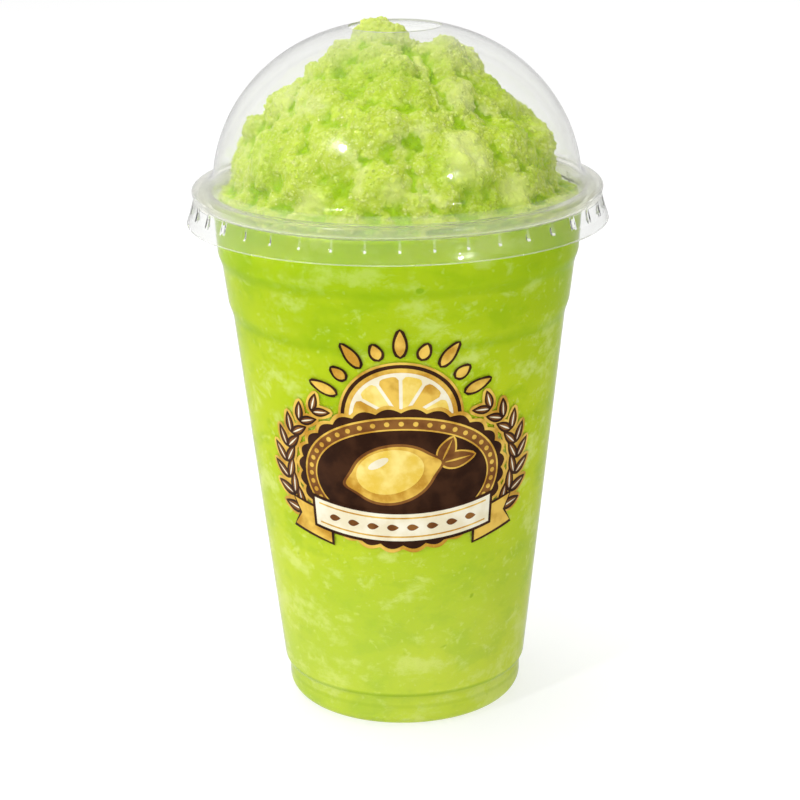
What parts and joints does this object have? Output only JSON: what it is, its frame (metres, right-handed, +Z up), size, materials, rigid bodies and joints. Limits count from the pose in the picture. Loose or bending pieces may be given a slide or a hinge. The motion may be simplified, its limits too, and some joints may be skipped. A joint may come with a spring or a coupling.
{
  "type": "slush drink cup",
  "caption": "Tapered clear plastic cup of lime slush with a round printed badge, heaped up inside a clear dome lid whose straw hole the peak pokes through.",
  "frame": {"origin": "centre of the cup's foot ring, on the surface the cup stands on", "axes": "+Z up along the cup's axis; the printed badge and the shown side face -Y; +X to the right of someone who looks at the badge"},
  "size_m": [0.1038, 0.1038, 0.1742],
  "materials": {
    "clear_cup": "clear, glossy, colourless plastic",
    "clear_lid": "clear, glossy, colourless plastic",
    "lime_slush": "wet, grainy crushed ice in a lime green drink",
    "badge_print": "smooth opaque printing ink"
  },
  "bodies": {
    "root": {"cup": "clear_cup", "dome_lid": "clear_lid", "slush": "lime_slush"}
  },
  "joints": []
}
